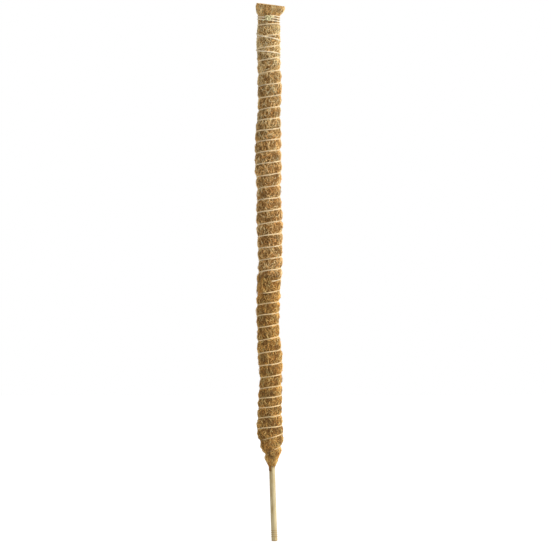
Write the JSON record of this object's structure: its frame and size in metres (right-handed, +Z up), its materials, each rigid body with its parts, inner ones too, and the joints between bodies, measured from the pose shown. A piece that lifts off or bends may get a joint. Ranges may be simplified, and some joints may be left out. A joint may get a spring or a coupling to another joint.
{
  "type": "moss_pole",
  "caption": "Plant support pole of coir packed round a bamboo cane, bound with pale twine in an open spiral under a flared collar",
  "frame": {"origin": "middle of the cane's cut foot, the end that is pushed into the soil", "axes": "+Z up the pole, +X to the right seen from the front, +Y to the back; the knot faces -Y"},
  "size_m": [0.0512, 0.0507, 0.9],
  "materials": {
    "bamboo": "smooth dry bamboo, straw yellow",
    "coir_inner": "packed coconut fibre, brown",
    "coir_outer": "matted coconut fibre, golden brown",
    "twine": "twisted natural twine, cream"
  },
  "bodies": {
    "root": {"bamboo_cane": "bamboo", "coir_core": "coir_inner", "lower_coir_mat": "coir_outer", "upper_coir_mat": "coir_outer", "lower_twine": "twine", "upper_twine": "twine", "top_tie": "twine", "top_knot": "twine"}
  },
  "joints": []
}
